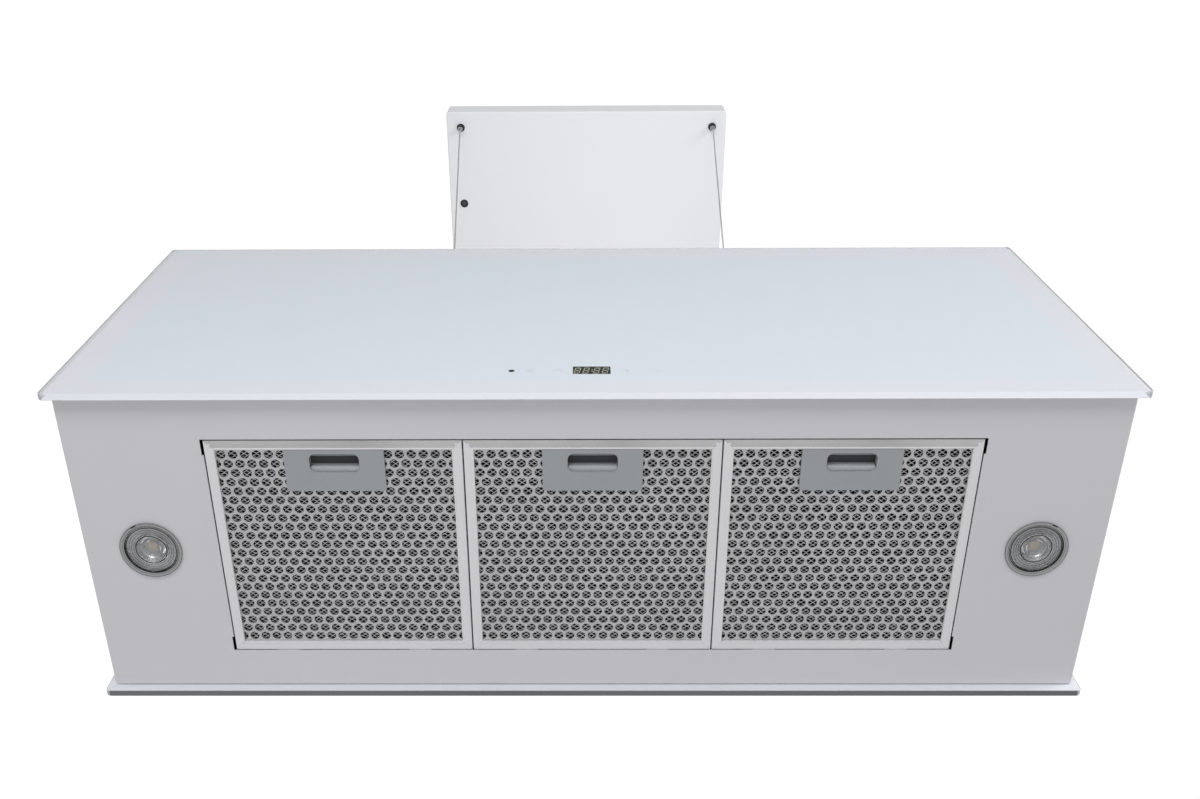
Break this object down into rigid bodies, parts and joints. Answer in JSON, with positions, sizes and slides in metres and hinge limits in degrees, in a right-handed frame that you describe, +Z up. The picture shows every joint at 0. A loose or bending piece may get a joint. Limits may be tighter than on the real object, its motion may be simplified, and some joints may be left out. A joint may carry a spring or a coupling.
{
  "type": "ceiling-hung range hood",
  "caption": "Ceiling-hung recirculating range hood: wide shallow box between white glass panels, hung by steel cables from a ceiling box, with drop-down grease filters and lamps below.",
  "frame": {"origin": "centre of the ceiling mounting face, on top of the ceiling bracket", "axes": "+Z up, -Y towards the front glass with the touch keys, +X to the right seen from the front"},
  "size_m": [0.9, 0.305, 1.168],
  "materials": {
    "white_paint": "satin powder coat",
    "galvanised": "galvanised sheet",
    "white_glass": "back-enamelled float glass",
    "nickel": "satin nickel plate",
    "rope_steel": "stranded wire",
    "screw_steel": "zinc plated",
    "black_rubber": "matte",
    "foam_tape": "matte foam tape",
    "circuit_board": "solder mask",
    "display_black": "smoked",
    "grey_plastic": "fine texture",
    "aluminium": "brushed",
    "filter_mesh": "expanded metal",
    "spring_steel": "bare wire",
    "motor_steel": "black enamel",
    "impeller_plastic": "moulded",
    "carbon": "granular",
    "lens_clear": "polished, facetted",
    "led_yellow": "phosphor",
    "light_plastic": "moulded"
  },
  "bodies": {
    "hood": {"ceiling_bracket": "galvanised", "ceiling_box_cover": "white_paint", "ceiling_cover_screws": "screw_steel", "cable_gripper_bodies": "nickel", "suspension_cables": "rope_steel", "cable_anchors": "nickel", "cable_entry_grommet": "black_rubber", "mains_terminal_block": "light_plastic", "body_casing": "white_paint", "top_panel": "white_paint", "top_panel_screws": "screw_steel", "front_glass": "white_glass", "rear_glass": "white_glass", "glass_bonding_tapes": "foam_tape", "glass_hanging_rails": "aluminium", "front_inner_panel": "galvanised", "rear_inner_panel": "galvanised", "filter_seat_rail": "galvanised", "control_board": "circuit_board", "display_module": "display_black", "power_supply_unit": "light_plastic", "blower_housing_left": "galvanised", "blower_housing_right": "galvanised", "blower_motor": "motor_steel", "motor_bracket": "galvanised", "run_capacitor": "light_plastic", "outlet_plenum": "galvanised", "lamp_bezel_left": "nickel", "lamp_bezel_right": "nickel", "lamp_lens_left": "lens_clear", "lamp_lens_right": "lens_clear", "lamp_led_boards": "led_yellow", "lamp_heatsinks": "aluminium", "lamp_spring_clips": "spring_steel"},
    "filter_left": {"filter_left_frame": "aluminium", "filter_left_face_sheet": "aluminium", "filter_left_core": "filter_mesh", "filter_left_latch_plate": "grey_plastic", "filter_left_latch_spring": "spring_steel"},
    "latch_left": {"filter_left_latch_slider": "grey_plastic"},
    "filter_middle": {"filter_middle_frame": "aluminium", "filter_middle_face_sheet": "aluminium", "filter_middle_core": "filter_mesh", "filter_middle_latch_plate": "grey_plastic", "filter_middle_latch_spring": "spring_steel"},
    "latch_middle": {"filter_middle_latch_slider": "grey_plastic"},
    "filter_right": {"filter_right_frame": "aluminium", "filter_right_face_sheet": "aluminium", "filter_right_core": "filter_mesh", "filter_right_latch_plate": "grey_plastic", "filter_right_latch_spring": "spring_steel"},
    "latch_right": {"filter_right_latch_slider": "grey_plastic"},
    "nipple_front_left": {"gripper_nipple_front_left": "nickel"},
    "nipple_front_right": {"gripper_nipple_front_right": "nickel"},
    "nipple_rear_left": {"gripper_nipple_rear_left": "nickel"},
    "nipple_rear_right": {"gripper_nipple_rear_right": "nickel"},
    "blower_wheel": {"impeller": "impeller_plastic", "motor_shaft": "screw_steel"},
    "charcoal_left": {"charcoal_filter_left": "carbon"},
    "charcoal_right": {"charcoal_filter_right": "carbon"}
  },
  "joints": [
    {"name": "filter_left_swing", "type": "hinge", "parent": "hood", "child": "filter_left", "pos_m": [-0.2169, 0.107, -1.158], "axis": [1, 0, 0], "range_deg": [0, 75]},
    {"name": "latch_left_slide", "type": "slide", "parent": "filter_left", "child": "latch_left", "axis": [0, 1, 0], "range_m": [0, 0.005], "stiffness_N_per_m": 300, "deforming": ["filter_left_latch_spring"]},
    {"name": "filter_middle_swing", "type": "hinge", "parent": "hood", "child": "filter_middle", "pos_m": [0, 0.107, -1.158], "axis": [1, 0, 0], "range_deg": [0, 75]},
    {"name": "latch_middle_slide", "type": "slide", "parent": "filter_middle", "child": "latch_middle", "axis": [0, 1, 0], "range_m": [0, 0.005], "stiffness_N_per_m": 300, "deforming": ["filter_middle_latch_spring"]},
    {"name": "filter_right_swing", "type": "hinge", "parent": "hood", "child": "filter_right", "pos_m": [0.2169, 0.107, -1.158], "axis": [1, 0, 0], "range_deg": [0, 75]},
    {"name": "latch_right_slide", "type": "slide", "parent": "filter_right", "child": "latch_right", "axis": [0, 1, 0], "range_m": [0, 0.005], "stiffness_N_per_m": 300, "deforming": ["filter_right_latch_spring"]},
    {"name": "nipple_front_left_press", "type": "slide", "parent": "hood", "child": "nipple_front_left", "axis": [0, 0, 1], "range_m": [0, 0.0025], "stiffness_N_per_m": 600},
    {"name": "nipple_front_right_press", "type": "slide", "parent": "hood", "child": "nipple_front_right", "axis": [0, 0, 1], "range_m": [0, 0.0025], "stiffness_N_per_m": 600},
    {"name": "nipple_rear_left_press", "type": "slide", "parent": "hood", "child": "nipple_rear_left", "axis": [0, 0, 1], "range_m": [0, 0.0025], "stiffness_N_per_m": 600},
    {"name": "nipple_rear_right_press", "type": "slide", "parent": "hood", "child": "nipple_rear_right", "axis": [0, 0, 1], "range_m": [0, 0.0025], "stiffness_N_per_m": 600},
    {"name": "blower_spin", "type": "hinge", "parent": "hood", "child": "blower_wheel", "pos_m": [0, 0, -0.963], "axis": [1, 0, 0], "continuous": true},
    {"name": "charcoal_left_turn", "type": "hinge", "parent": "hood", "child": "charcoal_left", "pos_m": [-0.0925, 0, -0.963], "axis": [-1, 0, 0], "range_deg": [0, 25]},
    {"name": "charcoal_right_turn", "type": "hinge", "parent": "hood", "child": "charcoal_right", "pos_m": [0.0925, 0, -0.963], "axis": [1, 0, 0], "range_deg": [0, 25]}
  ]
}
